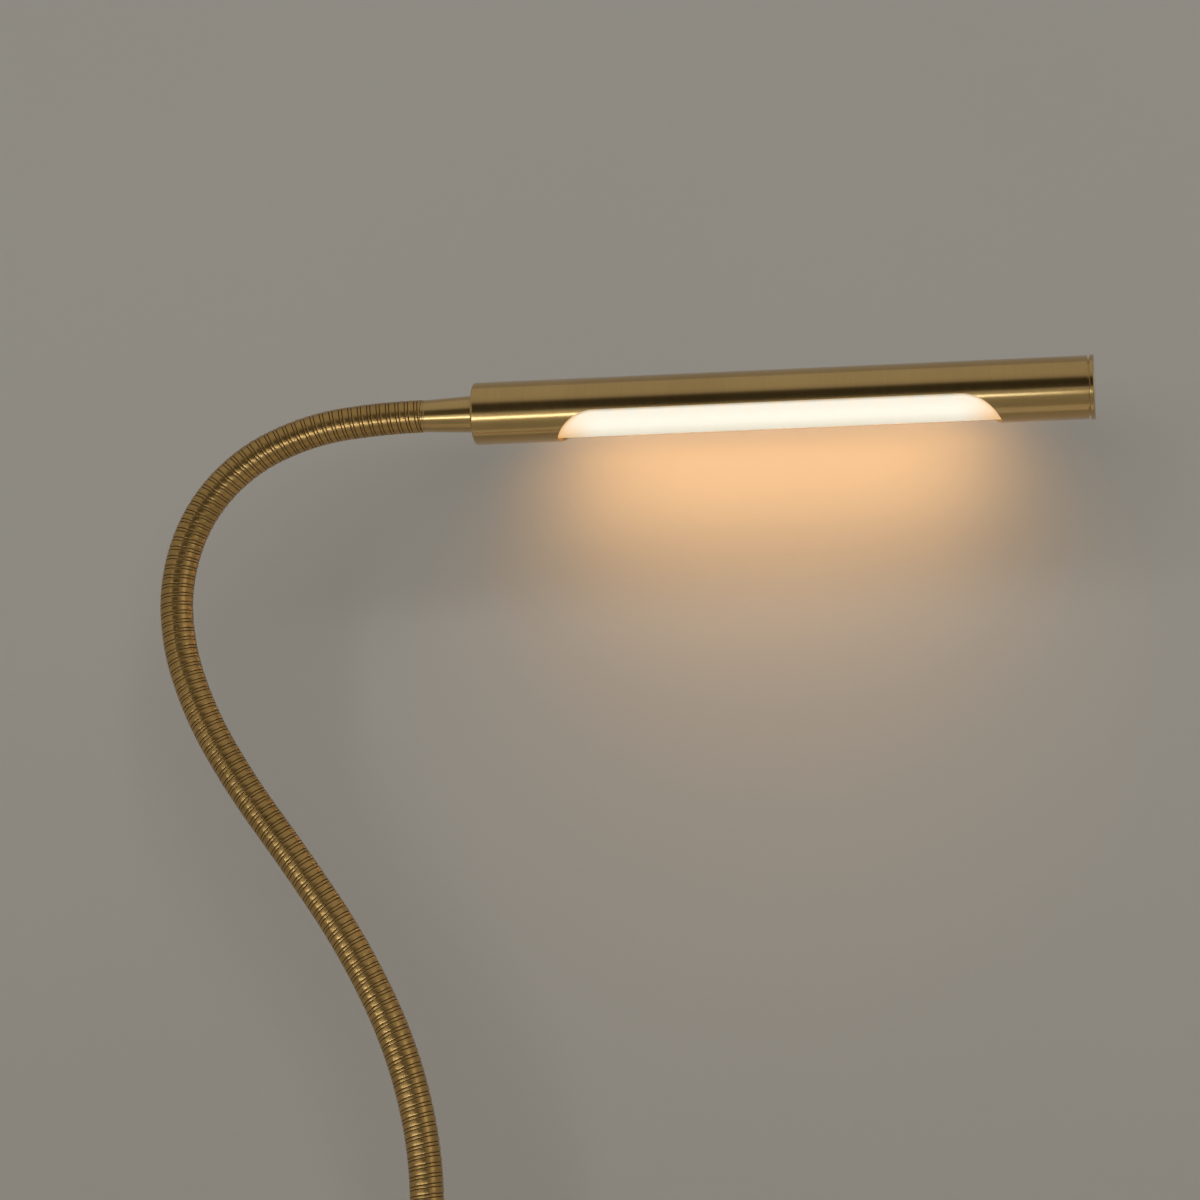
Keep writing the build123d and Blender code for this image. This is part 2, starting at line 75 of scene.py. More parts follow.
# %% [markdown]
# ## Writing materials as sums
# A finish is a small calculation: a noise times a strength, one minus a mask. Placing nodes by
# hand hides that, so one class wraps a socket and lets plain Python operators add Math nodes.
# Every other node comes from its `node` method.


# %% A pen for shader nodes
class Pen:
    """A socket in a node tree. Operators add Math nodes to the tree."""

    def __init__(self, tree, socket=None):
        self.tree = tree
        self.socket = socket

    def node(self, kind, settings=None, inputs=None, output=0):
        """Add a node: its settings first, then its values and links. Give one of its outputs."""
        made = self.tree.nodes.new(kind)
        for key, value in (settings or {}).items():
            setattr(made, key, value)
        for key, value in (inputs or {}).items():
            if isinstance(value, Pen):
                self.tree.links.new(value.socket, made.inputs[key])
            else:
                made.inputs[key].default_value = value
        return Pen(self.tree, made.outputs[output] if made.outputs else None)

    def math(self, operation, *values):
        return self.node("ShaderNodeMath", {"operation": operation}, dict(enumerate(values)))

    def between(self, low, high):
        """0 below low, 1 above high, and a soft step from one to the other."""
        settings = {"interpolation_type": "SMOOTHSTEP"}
        return self.node("ShaderNodeMapRange", settings, {0: self, 1: low, 2: high, 3: 0.0, 4: 1.0})

    def mix(self, first, second):
        """Colour that goes from first to second as this value goes from 0 to 1."""
        return self.node("ShaderNodeMix", {"data_type": "RGBA"}, {0: self, 6: first, 7: second}, 2)

    def times(self, scale):
        """Vector with each of its parts multiplied by its own number."""
        return self.node("ShaderNodeVectorMath", {"operation": "MULTIPLY"}, {0: self, 1: scale})

    def noise(self, scale, detail=2.0):
        return self.node("ShaderNodeTexNoise", None, {"Vector": self, "Scale": scale, "Detail": detail})

    def part(self, axis):
        """One of a vector's X, Y and Z."""
        return self.node("ShaderNodeSeparateXYZ", None, {0: self}, axis)

    def bump(self, strength, depth):
        """Surface direction that treats this value as a height."""
        inputs = {"Strength": strength, "Distance": depth, "Height": self}
        return self.node("ShaderNodeBump", None, inputs)

    def __add__(self, other):
        return self.math("ADD", self, other)

    def __sub__(self, other):
        return self.math("SUBTRACT", self, other)

    def __mul__(self, other):
        return self.math("MULTIPLY", self, other)

    def __truediv__(self, other):
        return self.math("DIVIDE", self, other)

    def __rsub__(self, other):
        return self.math("SUBTRACT", other, self)

    __radd__ = __add__
    __rmul__ = __mul__


noise_range = (0.3, 0.7)    # most values of a noise lie between these


def start_finish(name):
    """An empty material, and the pen that writes in it."""
    material = bpy.data.materials.new(name)
    material.use_nodes = True
    material.node_tree.nodes.clear()
    return material, Pen(material.node_tree)


def end_finish(pen, inputs):
    """Close a material with one Principled shader."""
    shader = pen.node("ShaderNodeBsdfPrincipled", None, inputs)
    pen.node("ShaderNodeOutputMaterial", None, {"Surface": shader})


print("pen ready")

# %% [markdown]
# ## Satin brass
# The head, the ferrules and the clamp are turned or brushed brass under a thin lacquer. The
# brush leaves hair-fine lines that run round a turned piece, so the pattern changes fast along
# the piece's axis and slowly across it. A noise that is stretched by a different scale on each
# axis gives such lines. They are faint: they move the roughness a little and feed a very shallow
# bump. The lacquer is the shader's coat, which keeps the brightest reflections pale.

# %% Brass finishes
brass_light = (0.62, 0.412, 0.152, 1.0)
brass_deep = (0.55, 0.357, 0.125, 1.0)
brass_roughness = 0.21
brush_fine = 9000.0     # lines to the metre along the axis
brush_deep = 1500.0     # the few deeper ones
brush_long = 16.0       # and either kind across the axis
brush_height = 0.02 * mm
brush_strength = 0.06
cloud_scale = 30.0      # soft patches to the metre, where the brass is paler
lacquer = 0.8
lacquer_roughness = 0.11
lacquer_index = 1.6


def brush_lines(place, axis, spacing):
    """Noise drawn out into lines round an axis: 0, 1 or 2 for X, Y or Z."""
    stretch = [brush_long] * 3
    stretch[axis] = spacing
    return place.times(stretch).noise(1.0, 3.0)


def brushed_brass(name, axis):
    """Lacquered brass with brush lines round an axis."""
    material, pen = start_finish(name)
    place = pen.node("ShaderNodeTexCoord", output="Object")
    fine = brush_lines(place, axis, brush_fine)
    deep = brush_lines(place, axis, brush_deep)
    clouds = place.noise(cloud_scale, 3.0)
    tone = clouds * 0.65 + deep * 0.35
    uneven = (fine - 0.5) * 0.06 + (deep - 0.5) * 0.05 + (clouds - 0.5) * 0.04
    end_finish(pen, {
        "Base Color": tone.between(*noise_range).mix(brass_deep, brass_light),
        "Metallic": 1.0,
        "Roughness": brass_roughness + uneven,
        "Normal": (fine * 0.6 + deep * 0.4).bump(brush_strength, brush_height),
        "Coat Weight": lacquer,
        "Coat Roughness": lacquer_roughness,
        "Coat IOR": lacquer_index,
    })
    return material


brass_along_x = brushed_brass("brass_turned_x", 0)
brass_along_y = brushed_brass("brass_brushed_y", 1)
brass_along_z = brushed_brass("brass_turned_z", 2)
print("brass finishes ready")

# %% [markdown]
# ## The neck's finish
# The neck is a strip wound in a tight helix. Its colour turns dark brown in the grooves as painted
# shade. The neck is bent after it is modelled, so its finish reads the place that each point had
# while the neck was straight, which the mesh keeps as an attribute.

# %% Neck brass
link_low, link_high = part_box("neck_segment_1")
crest_radius = (link_high.y - link_low.y) / 2
neck_light = (0.56, 0.352, 0.124, 1.0)
neck_deep = (0.48, 0.297, 0.100, 1.0)
neck_cloud_scale = 34.0
neck_roughness = 0.30
neck_lacquer = 0.15
wipe_lines = (60.0, 60.0, 6400.0)       # to the metre, across the neck and along it
wipe_strength = 0.05
groove_depth = 0.40 * mm
# Painted shade: the base colour darkens to this brown towards the bottom of each groove
groove_painted_shade = (0.090, 0.052, 0.021, 1.0)
painted_shade_range = (0.25, 0.60)              # shares of the depth where the painted shade sets in
dull_range = (0.3, 1.0)                 # and where the groove turns dull
groove_dullness = 0.25


def wound_brass(name):
    """Brass on the strip's crests, with a dark brown painted shade in the grooves between them."""
    material, pen = start_finish(name)
    place = pen.node("ShaderNodeAttribute", {"attribute_name": "straight"}, output="Vector")
    flat = place.times((1.0, 1.0, 0.0))
    radius = pen.node("ShaderNodeVectorMath", {"operation": "LENGTH"}, {0: flat}, "Value")
    depth = (crest_radius - radius) / groove_depth
    lines = place.times(wipe_lines).noise(1.0, 2.0)
    clouds = place.noise(neck_cloud_scale, 3.0)
    bright = clouds.between(*noise_range).mix(neck_deep, neck_light)
    dull = depth.between(*dull_range) * groove_dullness
    end_finish(pen, {
        # Painted shade: deeper in a groove, the colour turns to the dark brown
        "Base Color": depth.between(*painted_shade_range).mix(bright, groove_painted_shade),
        "Metallic": 1.0,
        "Roughness": neck_roughness + (lines - 0.5) * 0.06 + dull,
        "Normal": lines.bump(wipe_strength, brush_height),
        "Coat Weight": neck_lacquer,
        "Coat Roughness": lacquer_roughness,
    })
    return material


neck_brass = wound_brass("brass_wound_neck")
print("neck finish ready, crest radius", round(crest_radius / mm, 2), "mm")

# %% [markdown]
# ## The lit diffuser
# The diffuser is a milky strip with a row of warm lights behind it. Its lower face glows most.
# Each light shows as a faint spot near the upper edges, where the strip is closest to it, and
# the ends turn orange, where there is only light from one side. All of that follows from where
# a point lies along the head and below its axis, so no painted picture is needed.

# %% Diffuser finish
window_length = 175.5 * mm
light_count = 17
milk_deep = (0.79, 0.77, 0.73, 1.0)
milk_light = (0.85, 0.83, 0.79, 1.0)
milk_grain = 900.0
milk_roughness = 0.38
glow_upper = (0.46, 0.43, 0.30, 1.0)
glow_lower = (1.08, 1.02, 0.82, 1.0)
glow_end = (1.15, 0.52, 0.05, 1.0)
glow_strength = 0.53
lower_range = (3.0 * mm, 10.0 * mm)     # below the axis, where the lower glow takes over
end_range = (0.40 * window_length, 0.50 * window_length)    # from the window's middle
end_warmth = 0.9
spot_warmth = 0.25

tube_low, tube_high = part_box("head_tube")
head_axis = Vector((0, 0, (tube_low.z + tube_high.z) / 2))
window_middle = (tube_low.x + tube_high.x) / 2


def lit_plastic(name):
    """Milky plastic that glows, with a spot for each light and warm ends."""
    material, pen = start_finish(name)
    place = pen.node("ShaderNodeTexCoord", output="Object")
    along = place.part("X") - window_middle
    drop = head_axis.z - place.part("Z")
    pitch = window_length / light_count
    wave = pen.math("COSINE", along * (2 * pi / pitch) + pi)
    low = drop.between(*lower_range)
    between_spots = 0.5 - wave * 0.5
    ends = pen.math("ABSOLUTE", along).between(*end_range)
    warm = ends * end_warmth + between_spots * (1.0 - low) * spot_warmth
    grain = place.noise(milk_grain, 2.0)
    end_finish(pen, {
        "Base Color": grain.mix(milk_deep, milk_light),
        "Roughness": milk_roughness + (grain - 0.5) * 0.1,
        "Emission Color": warm.mix(low.mix(glow_upper, glow_lower), glow_end),
        "Emission Strength": glow_strength,
    })
    return material


diffuser_finish = lit_plastic("diffuser_lit")
print("diffuser finish ready, spots every", round(window_length / light_count / mm, 2), "mm")

# %% [markdown]
# ## The smaller finishes
# Rubber pads, plated steel, aluminium, circuit boards, light chips and wires are mostly hidden,
# but each still has its own surface: rubber is dull and grainy, steel keeps marks of the tool,
# and a board shows its copper tracks through the green. Most of them are one recipe with other
# numbers, so one function makes them.

# %% Rubber, steel, plastic and wires
grain_height = 0.04 * mm
cloud_share = 0.06      # of the grain's scale
chip_strength = 2.0


def grained(name, dark, light, rough, metallic=0.0, scale=900.0, strength=0.3, glow=None):
    """A finish with a fine grain, which moves its colour, its roughness and its surface."""
    material, pen = start_finish(name)
    place = pen.node("ShaderNodeTexCoord", output="Object")
    grain = place.noise(scale, 3.0)
    clouds = place.noise(scale * cloud_share, 2.0)
    inputs = {
        "Base Color": (grain * 0.5 + clouds * 0.5).between(*noise_range).mix(dark, light),
        "Metallic": metallic,
        "Roughness": rough + (grain - 0.5) * 0.2 + (clouds - 0.5) * 0.1,
        "Normal": grain.bump(strength, grain_height),
    }
    if glow:
        inputs["Emission Color"] = glow
        inputs["Emission Strength"] = chip_strength
    end_finish(pen, inputs)
    return material


pad_rubber = grained(
    "rubber_pad", dark=(0.012, 0.012, 0.012, 1), light=(0.032, 0.031, 0.030, 1), rough=0.72,
    strength=0.6,
)
screw_steel = grained(
    "steel_plated", dark=(0.42, 0.42, 0.41, 1), light=(0.60, 0.60, 0.58, 1), rough=0.30,
    metallic=1.0, scale=1600.0,
)
carrier_aluminium = grained(
    "aluminium_drawn", dark=(0.58, 0.58, 0.59, 1), light=(0.74, 0.74, 0.75, 1), rough=0.36,
    metallic=1.0, scale=1200.0,
)
black_plastic = grained(
    "plastic_black", dark=(0.014, 0.014, 0.015, 1), light=(0.030, 0.030, 0.031, 1), rough=0.45,
)
wire_cover = grained(
    "wire_cover_white", dark=(0.70, 0.69, 0.66, 1), light=(0.82, 0.81, 0.78, 1), rough=0.42,
    scale=500.0,
)
light_chip = grained(
    "light_chip_warm", dark=(0.80, 0.60, 0.16, 1), light=(0.92, 0.74, 0.26, 1), rough=0.40,
    glow=glow_lower,
)
print("grained finishes ready")

# %% Circuit boards
track_scale = 260.0
track_edge = (0.05, 0.09)
board_grain = 1500.0
board_roughness = 0.32
track_height = 0.05 * mm
track_strength = 0.3


def printed_board(name, mask, track):
    """A circuit board: copper tracks show as lighter bands under the coloured mask."""
    material, pen = start_finish(name)
    place = pen.node("ShaderNodeTexCoord", output="Object")
    inputs = {"Vector": place, "Scale": track_scale}
    cells = pen.node("ShaderNodeTexVoronoi", {"feature": "DISTANCE_TO_EDGE"}, inputs)
    bands = 1.0 - cells.between(*track_edge)
    grain = place.noise(board_grain, 2.0)
    end_finish(pen, {
        "Base Color": (bands * 0.8 + grain * 0.15).mix(mask, track),
        "Roughness": board_roughness + (grain - 0.5) * 0.15,
        "Normal": bands.bump(track_strength, track_height),
    })
    return material


board_green = printed_board("board_green", (0.010, 0.075, 0.030, 1), (0.055, 0.200, 0.075, 1))
board_white = printed_board("board_white", (0.74, 0.74, 0.71, 1), (0.84, 0.83, 0.80, 1))
print("board finishes ready")

# %% [markdown]
# ## Finishes on parts
# Every part comes with a plain slot that is named for its material. A table turns that name
# into a finish. The cap and the clamp's frame are brushed another way than the turned pieces,
# so they get their own afterwards.

# %% Put the finishes on the parts
finish_of_slot = {
    "steel": screw_steel, "aluminium": carrier_aluminium, "rubber_black": pad_rubber,
    "board_green": board_green, "board_white": board_white, "plastic_black": black_plastic,
    "light_chip": light_chip, "diffuser_white": diffuser_finish, "wire_white": wire_cover,
    "brass_satin": brass_along_z, "button_brass": brass_along_z, "brass_neck": neck_brass,
}
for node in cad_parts.values():
    for slot in node.material_slots:
        slot.material = finish_of_slot[slot.material.name.split(".")[0]]
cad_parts["tip_cap"].material_slots[0].material = brass_along_x
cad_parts["clamp_frame"].material_slots[0].material = brass_along_y
print("finishes on", len(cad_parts), "parts")

# %% [markdown]
# ## From a bmesh to a piece
# Each new piece is a bmesh until its shape is final. Then its doubles are merged, its faces are
# turned outwards, and it becomes an object that sits at the origin with its place in its mesh.

# %% Piece maker
merge_distance = 0.001 * mm
sharp_angle = radians(38)


def as_piece(name, shape, finish):
    """Turn a bmesh into an object with smooth faces and sharp corners."""
    bmesh.ops.remove_doubles(shape, verts=shape.verts, dist=merge_distance)
    bmesh.ops.recalc_face_normals(shape, faces=shape.faces)
    mesh = bpy.data.meshes.new(name)
    shape.to_mesh(mesh)
    shape.free()
    mesh.shade_smooth()
    mesh.set_sharp_from_angle(angle=sharp_angle)
    mesh.materials.append(finish)
    piece = bpy.data.objects.new(name, mesh)
    bpy.context.scene.collection.objects.link(piece)
    print(name, len(mesh.polygons), "faces")
    return piece


print("piece maker ready")

# %% [markdown]
# ## The flexible neck
# The real neck is a domed strip and a narrow one, wound together in a helix round a bendable
# core. A screw modifier would do it, but spin is simpler to follow: one pitch of the outline
# turns round the axis and climbs as it turns. The helix is made straight, cut into eight
# lengths, and each point is then carried to its place on the neck's bent centre line. A length
# reaches from the middle of one link to the middle of the next, with the joint between them.

# %% The neck's centre line
# Each run is (length, turn to the right in degrees), from the foot up
neck_runs = (
    (27.5 * mm, 0.0), (30.5 * mm, -10.5), (50.5 * mm, -15.0), (48.0 * mm, -9.0), (40.0 * mm, -2.0),
    (34.5 * mm, 5.5), (34.0 * mm, 12.0), (26.5 * mm, 15.5), (31.5 * mm, 24.5), (27.0 * mm, 24.0),
    (23.5 * mm, 20.0), (31.0 * mm, 18.5), (31.0 * mm, 6.5),
)
neck_links = 9
neck_length = sum(length for length, turn in neck_runs)
link_length = neck_length / neck_links
neck_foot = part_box("lower_ferrule")[1].z


def neck_place(along):
    """Point on the neck's centre line and its heading, from +Z towards +X."""
    point, heading, left = Vector((0, 0, neck_foot)), 0.0, along
    for length, turn in neck_runs:
        step = min(left, length)
        if turn == 0.0:
            point += Vector((sin(heading), 0, cos(heading))) * step
        else:
            radius = length / radians(turn)
            ahead = heading + step / radius
            point += Vector((cos(heading) - cos(ahead), 0, sin(ahead) - sin(heading))) * radius
            heading = ahead
        left -= step
    return point, heading


print("neck", round(neck_length / mm, 1), "mm long, ends at", neck_place(neck_length)[0])

# %% The strip's outline
neck_turns = 115
neck_pitch = neck_length / neck_turns
groove_half = 0.15 * mm
shoulder = 0.10 * mm
shoulder_turns = [radians(angle) for angle in (0, 30, 60, 90)]
crown_places = (-0.6, 0.0, 0.6)
# Each strip of one pitch: start and stop as shares of the pitch, sink below the crest, crown
strips = ((0.0, 0.66, 0.0, 0.05 * mm), (0.66, 1.0, 0.05 * mm, 0.02 * mm))


def strip_half(edge, side, sink):
    """A strip's wall and round shoulder, from its edge towards its middle."""
    points = [(edge, groove_depth)]
    for angle in shoulder_turns:
        inwards = shoulder * (1 - cos(angle))
        points.append((edge + side * inwards, sink + shoulder * (1 - sin(angle))))
    return points


def strip_outline():
    """Points of one pitch as (distance along the neck, radius): two crowned strips, two grooves."""
    points = []
    for start, stop, sink, crown in strips:
        low = start * neck_pitch + groove_half
        high = stop * neck_pitch - groove_half
        middle, half = (low + high) / 2, (high - low) / 2
        top = [(middle + place * half, sink + crown * place ** 2) for place in crown_places]
        points += strip_half(low, 1, sink + crown) + top + strip_half(high, -1, sink + crown)[::-1]
    points.append((points[0][0] + neck_pitch, groove_depth))
    return [(along, crest_radius - depth) for along, depth in points]


neck_outline = strip_outline()
print(len(neck_outline), "points in one pitch of", round(neck_pitch / mm, 3), "mm")

# %% Wind the strip
turn_steps = 32
spare_turns = 2     # one past each end, to be cut off square


def wind(outline, pitch, turns):
    """Spin one pitch of an outline about Z, climbing as it turns, and stack copies of that turn.

    The first turn starts one pitch below zero.
    """
    shape = bmesh.new()
    line = [shape.verts.new((radius, 0, along - pitch)) for along, radius in outline]
    edges = [shape.edges.new(pair) for pair in zip(line, line[1:])]
    bmesh.ops.spin(
        shape, geom=line + edges, cent=(0, 0, 0), axis=(0, 0, 1), dvec=(0, 0, pitch / turn_steps),
        angle=2 * pi, steps=turn_steps,
    )
    first_turn = shape.verts[:] + shape.edges[:] + shape.faces[:]
    for number in range(1, turns):
        copied = bmesh.ops.duplicate(shape, geom=first_turn)["geom"]
        points = [item for item in copied if isinstance(item, bmesh.types.BMVert)]
        bmesh.ops.translate(shape, verts=points, vec=(0, 0, number * pitch))
    bmesh.ops.remove_doubles(shape, verts=shape.verts, dist=merge_distance)
    return shape


def keep_between(shape, low, high):
    """Cut a wound shape square at two heights and close its ends."""
    for height, side in ((low, -1), (high, 1)):
        everything = shape.verts[:] + shape.edges[:] + shape.faces[:]
        bmesh.ops.bisect_plane(
            shape, geom=everything, dist=merge_distance, plane_co=(0, 0, height),
            plane_no=(0, 0, side), clear_outer=True,
        )
    rims = [edge for edge in shape.edges if edge.is_boundary]
    bmesh.ops.holes_fill(shape, edges=rims, sides=0)


straight_neck = wind(neck_outline, neck_pitch, neck_turns + spare_turns)
print("wound", len(straight_neck.faces), "faces")

# %% Cut and bend the neck
blend_reach = 0.42      # of a link's length, to each side of a knuckle


def bend_to_neck(shape):
    """Keep each point's straight place, then carry it to the bent centre line."""
    straight = shape.verts.layers.float_vector.new("straight")
    for vert in shape.verts:
        vert[straight] = vert.co
        point, heading = neck_place(vert.co.z)
        outwards = Vector((cos(heading), 0, -sin(heading)))
        vert.co = point + outwards * vert.co.x + Vector((0, vert.co.y, 0))


for knuckle in range(1, neck_links):
    low = 0.0 if knuckle == 1 else (knuckle - 0.5) * link_length
    high = neck_length if knuckle == neck_links - 1 else (knuckle + 0.5) * link_length
    length = straight_neck.copy()
    keep_between(length, low, high)
    bend_to_neck(length)
    skin = as_piece(f"neck_skin_{knuckle}", length, neck_brass)
    links = [knuckle, knuckle + 1] if knuckle == neck_links - 1 else [knuckle]
    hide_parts(*[f"neck_segment_{number}" for number in links])
    neck_place((knuckle - blend_reach) * link_length)[0]
    neck_place((knuckle + blend_reach) * link_length)[0]
    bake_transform(skin)
straight_neck.free()

# %% [markdown]
# ## The head tube
# The head is a thin tube with a closed, rounded end and one long window. A boolean would cut the
# window, but it leaves long uneven faces that shade badly. Instead a flat grid is rolled up:
# each column of the grid is one station along the tube, and it closes to a full circle, or
# stops at the window's two edges where the window is open. Solidify then gives the wall, and a
# hair-fine bevel takes the sharpness off the cut edges. Bevel doesn't get wider than the closest
# lines of the grid leave room for, so a softer edge would need stations farther apart.

# %% Stations of the head tube
tube_radius = (tube_high.y - tube_low.y) / 2
tube_length = tube_high.x - tube_low.x
tube_rim = 1.0 * mm
swivel_hole = 4.05 * mm
window_margin = (tube_length - window_length) / 2
window_half_angle = radians(73)
arc_steps = 28
rim_stride = 4      # the small rim needs only every fourth of those steps


def tube_stations():
    """Stations along the tube: (distance from its closed end, radius, window's half-angle)."""
    quarter = [0.5 * pi * step / arc_steps for step in range(arc_steps + 1)]
    end_plate = [(0.0, swivel_hole, 0.0)]
    rim = [
        (tube_rim * (1 - cos(angle)), tube_radius - tube_rim * (1 - sin(angle)), 0.0)
        for angle in quarter[::rim_stride]
    ]
    collar = [(2 * tube_rim, tube_radius, 0.0)]
    end_radius = window_half_angle * tube_radius
    opening = [
        (window_margin + end_radius * (1 - cos(angle)), window_half_angle * sin(angle))
        for angle in quarter
    ]
    closing = [(tube_length - x, half) for x, half in reversed(opening)]
    window = [(x, tube_radius, half) for x, half in opening + closing]
    mouth = [(tube_length, tube_radius, 0.0)]
    return end_plate + rim + collar + window + mouth


stations = tube_stations()
print(len(stations), "stations, window from", round(window_margin / mm, 2), "mm")

# %% Roll the head tube
tube_wall = 1.2 * mm
window_cut_bevel = 0.02 * mm
cut_segments = 3
cut_angle = radians(60)
around_steps = 192


def roll_tube():
    """A flat grid with a column for each station, rolled about the head's axis."""
    columns = len(stations) - 1
    shape = bmesh.new()
    bmesh.ops.create_grid(shape, x_segments=columns, y_segments=around_steps, size=0.5)
    for vert in shape.verts:
        x, radius, half = stations[round((vert.co.x + 0.5) * columns)]
        angle = half + (vert.co.y + 0.5) * 2 * (pi - half)
        vert.co = head_axis + Vector((tube_low.x + x, radius * sin(angle), -radius * cos(angle)))
    return shape


head_shell = as_piece("head_shell", roll_tube(), brass_along_x)
wall = head_shell.modifiers.new("wall", "SOLIDIFY")
wall.thickness = tube_wall
wall.offset = -1.0
soft_cut = head_shell.modifiers.new("soft_cut", "BEVEL")
soft_cut.width = window_cut_bevel
soft_cut.segments = cut_segments
soft_cut.limit_method = "ANGLE"
soft_cut.angle_limit = cut_angle
soft_cut.harden_normals = True
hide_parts("head_tube")
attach(head_shell, "head")

# %% [markdown]
# ## Turned pieces
# Ferrules are turned on a lathe, and spin is Blender's lathe: an outline of (distance along the
# axis, radius) goes once round the axis. The outline is a closed loop, so the piece is solid.

# %% Lathe
lathe_steps = 96


def lathe(outline, placing):
    """Turn a closed outline of (along, radius) round Z, then place it."""
    shape = bmesh.new()
    loop = [shape.verts.new((radius, 0, along)) for along, radius in outline]
    edges = [shape.edges.new(pair) for pair in zip(loop, loop[1:] + loop[:1])]
    bmesh.ops.spin(
        shape, geom=loop + edges, cent=(0, 0, 0), axis=(0, 0, 1), angle=2 * pi, steps=lathe_steps,
        use_merge=True,
    )
    bmesh.ops.transform(shape, matrix=placing, verts=shape.verts)
    return shape


print("lathe ready")

# %% Ferrules
ferrule_length = 21.0 * mm
socket_radius = 4.75 * mm
socket_depth = 9.6 * mm
lead_bore = 2.6 * mm
upper_spigot = 4.0 * mm
lower_spigot = 5.0 * mm
# Outside from the neck's end, in millimetres along and out: lip, dark groove, cone, soft shoulder
ferrule_outside = (
    (0.0, 6.22), (0.12, 6.40), (0.30, 6.46), (0.80, 6.46), (0.95, 6.38), (1.02, 6.16), (1.28, 6.16),
    (1.34, 6.38), (1.50, 6.46), (1.70, 6.47), (20.25, 7.35), (20.45, 7.36), (20.72, 7.30),
    (20.92, 7.12), (21.0, 6.90),
)


def ferrule(spigot_radius, spigot_length):
    """The outline of a ferrule and its spigot, with the neck's socket and the way for the lead."""
    end = ferrule_length + spigot_length
    outside = [(along * mm, radius * mm) for along, radius in ferrule_outside]
    spigot = [(ferrule_length, spigot_radius), (end, spigot_radius), (end, lead_bore)]
    floor = [(socket_depth, lead_bore), (socket_depth, socket_radius)]
    return [(0.0, socket_radius)] + outside + spigot + floor


upper_low, upper_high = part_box("upper_ferrule")
to_head = Matrix.Translation((upper_low.x, 0, head_axis.z)) @ Matrix.Rotation(radians(90), 4, "Y")
upper_outline = ferrule(upper_spigot, upper_high.x - upper_low.x - ferrule_length)
upper = as_piece("upper_ferrule_turned", lathe(upper_outline, to_head), brass_along_x)
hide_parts("upper_ferrule")
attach(upper, "neck_9")

lower_low, lower_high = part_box("lower_ferrule")
to_foot = Matrix.Translation((0, 0, lower_high.z)) @ Matrix.Rotation(radians(180), 4, "X")
lower_outline = ferrule(lower_spigot, lower_high.z - lower_low.z - ferrule_length)
lower = as_piece("lower_ferrule_turned", lathe(lower_outline, to_foot), brass_along_z)
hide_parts("lower_ferrule")
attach(lower, "clamp")

# %% [markdown]
# ## The clamp screw's thread
# The clamp is closed by a steel screw with a plain end, on which the pressure disc turns. A
# thread is the neck's helix again, with a plain pointed outline and a finer pitch, so the same
# two functions wind it and cut it.

# %% Threaded rod
rod_low, rod_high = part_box("clamp_screw")
rod_radius = (rod_high.y - rod_low.y) / 2
rod_x = (rod_low.x + rod_high.x) / 2
journal_radius = 3.0 * mm
journal_length = 6.05 * mm
thread_pitch = 1.25 * mm
thread_depth = 0.62 * mm
thread_length = rod_high.z - rod_low.z - journal_length
thread_turns = int(thread_length / thread_pitch) + 1 + spare_turns
# One pitch as (share of the pitch, share of the depth)
thread_shape = ((0.0, 1.0), (0.12, 1.0), (0.44, 0.0), (0.56, 0.0), (0.88, 1.0), (1.0, 1.0))
thread_outline = [
    (along * thread_pitch, rod_radius - depth * thread_depth) for along, depth in thread_shape
]

thread = wind(thread_outline, thread_pitch, thread_turns)
keep_between(thread, 0.0, thread_length)
bmesh.ops.translate(thread, verts=thread.verts, vec=(rod_x, 0, rod_low.z))
bmesh.ops.create_cone(
    thread, cap_ends=True, segments=lathe_steps, radius1=journal_radius, radius2=journal_radius,
    depth=journal_length, matrix=Matrix.Translation((rod_x, 0, rod_high.z - journal_length / 2)),
)
threaded_rod = as_piece("threaded_rod", thread, screw_steel)
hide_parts("clamp_screw")
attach(threaded_rod, "clamp_screw")

# %% [markdown]
# ## Soft pads
# The jaw and the pressure disc carry thin rubber pads. Their outline is right on the part
# already, so a copy of that mesh is merged, its flat faces are joined, and a bevel rounds the
# corners as a moulded pad has them.

# %% Rubber pads
pad_round = 0.5 * mm
pad_segments = 3
flat_angle = radians(1)
corner_angle = radians(45)


def rounded_pad(name, node, body):
    """A copy of a pad with its corners rounded."""
    shape = bmesh.new()
    shape.from_mesh(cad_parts[node].data)
    bmesh.ops.remove_doubles(shape, verts=shape.verts, dist=merge_distance)
    bmesh.ops.dissolve_limit(shape, angle_limit=flat_angle, verts=shape.verts, edges=shape.edges)
    corners = [edge for edge in shape.edges if edge.calc_face_angle(0.0) > corner_angle]
    bmesh.ops.bevel(
        shape, geom=corners, offset=pad_round, segments=pad_segments, profile=0.5, affect="EDGES",
        material=-1,
    )
    piece = as_piece(name, shape, pad_rubber)
    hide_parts(node)
    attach(piece, body)


rounded_pad("jaw_pad_rubber", "jaw_pad", "clamp")
rounded_pad("pressure_pad_rubber", "pressure_pad", "pressure_foot")

# %% [markdown]
# ## Stage, light and camera
# The lamp hangs before a plain warm grey backdrop, over a pale floor. A polished tube shows
# the room like a mirror that is bent one way only: the level head mirrors what is above, before
# and below it, and the upright neck mirrors what is to the left and right. So the light is
# planned by direction: a grey room with a darker patch in front, a low strip that draws the bright
# line along the head, three upright strips that draw the streaks along the neck, and a panel on
# the floor for the head's underside. A soft fill, which the metal doesn't mirror, lights the
# matt surfaces.

# %% Floor and backdrop
paint_scale = 6.0
paint_lift = 1.03       # the paint's paler patches


